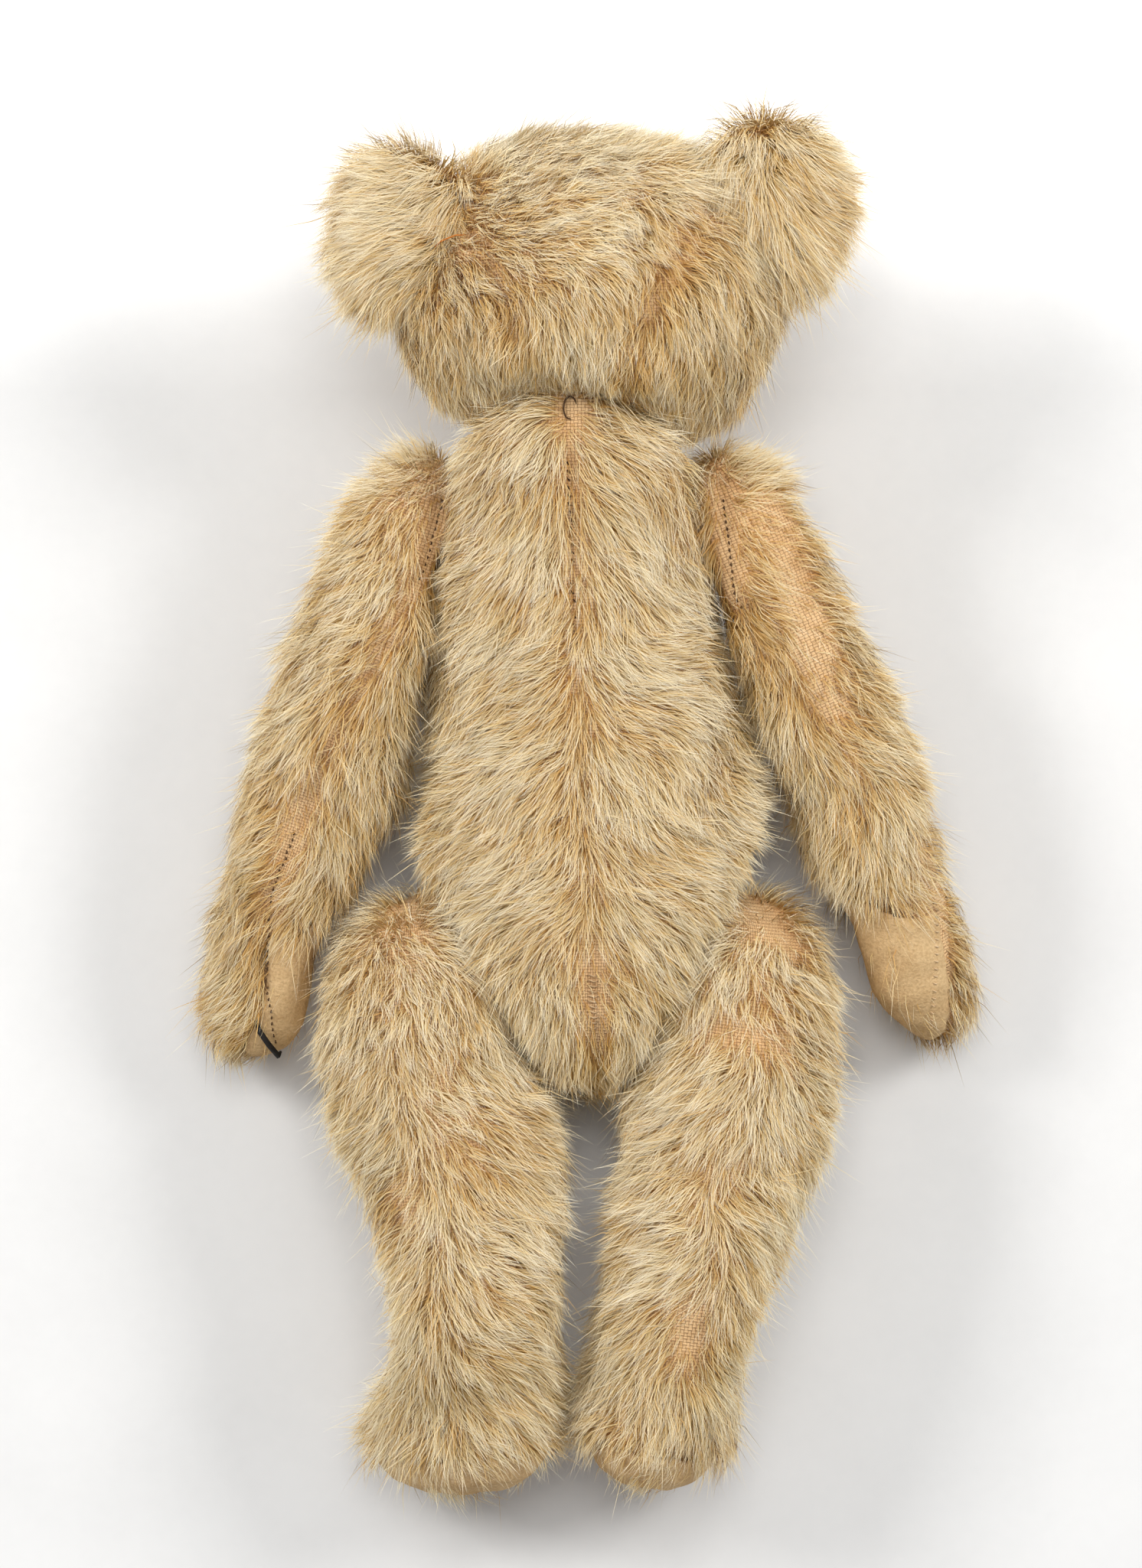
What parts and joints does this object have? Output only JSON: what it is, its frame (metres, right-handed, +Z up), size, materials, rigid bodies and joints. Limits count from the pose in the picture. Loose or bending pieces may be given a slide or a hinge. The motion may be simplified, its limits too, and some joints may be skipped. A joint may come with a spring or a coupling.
{
  "type": "teddy bear",
  "caption": "Worn jointed teddy bear in straw-coloured mohair plush, lying on its belly, with felt pads and a head, arms and legs that turn on discs.",
  "frame": {"origin": "under the middle of the bear's box, on the ground that its belly rests on", "axes": "+Y towards the head, +Z up out of the back, and the bear's left side at -X"},
  "size_m": [0.1848, 0.3318, 0.0946],
  "materials": {
    "mohair": "long combed pile, worn to the weave in places",
    "felt": "matt wool felt, rubbed",
    "wood_wool": "fine wood shavings, packed hard",
    "thread": "waxed black thread",
    "board": "plain pressed board",
    "steel": "dull wire and stamped washers",
    "button": "black lacquer"
  },
  "bodies": {
    "torso": {"torso_skin": "mohair", "torso_stuffing": "wood_wool", "neck_torso_disc": "board", "neck_torso_washer": "steel", "neck_pin": "steel", "shoulder_left_torso_disc": "board", "shoulder_left_torso_washer": "steel", "shoulder_left_pin": "steel", "shoulder_right_torso_disc": "board", "shoulder_right_torso_washer": "steel", "shoulder_right_pin": "steel", "hip_left_torso_disc": "board", "hip_left_torso_washer": "steel", "hip_left_pin": "steel", "hip_right_torso_disc": "board", "hip_right_torso_washer": "steel", "hip_right_pin": "steel"},
    "head": {"head_skin": "mohair", "head_stuffing": "wood_wool", "head_disc": "board", "head_washer": "steel", "ear_left": "mohair", "ear_right": "mohair", "eye_left": "button", "eye_right": "button", "nose": "thread", "mouth": "thread"},
    "arm_left": {"arm_left_skin": "mohair", "arm_left_stuffing": "wood_wool", "arm_left_disc": "board", "arm_left_washer": "steel", "paw_pad_left": "felt"},
    "arm_right": {"arm_right_skin": "mohair", "arm_right_stuffing": "wood_wool", "arm_right_disc": "board", "arm_right_washer": "steel", "paw_pad_right": "felt"},
    "leg_left": {"leg_left_skin": "mohair", "leg_left_stuffing": "wood_wool", "leg_left_disc": "board", "leg_left_washer": "steel", "sole_left": "felt"},
    "leg_right": {"leg_right_skin": "mohair", "leg_right_stuffing": "wood_wool", "leg_right_disc": "board", "leg_right_washer": "steel", "sole_right": "felt"}
  },
  "joints": [
    {"name": "neck_swivel", "type": "hinge", "parent": "torso", "child": "head", "pos_m": [-0.00222, 0.09264, 0.05], "axis": [0, 1, 0], "continuous": true},
    {"name": "shoulder_left_swing", "type": "hinge", "parent": "torso", "child": "arm_left", "pos_m": [-0.03422, 0.06544, 0.042], "axis": [0.9511, -0.309, 0], "range_deg": [-90, 115]},
    {"name": "shoulder_right_swing", "type": "hinge", "parent": "torso", "child": "arm_right", "pos_m": [0.02628, 0.06544, 0.042], "axis": [0.9272, 0.3746, 0], "range_deg": [-90, 115]},
    {"name": "hip_left_swing", "type": "hinge", "parent": "torso", "child": "leg_left", "pos_m": [-0.02772, -0.03456, 0.034], "axis": [0.9336, 0.3584, 0], "range_deg": [-80, 95]},
    {"name": "hip_right_swing", "type": "hinge", "parent": "torso", "child": "leg_right", "pos_m": [0.02528, -0.03356, 0.034], "axis": [0.9272, -0.3746, 0], "range_deg": [-80, 95]}
  ]
}
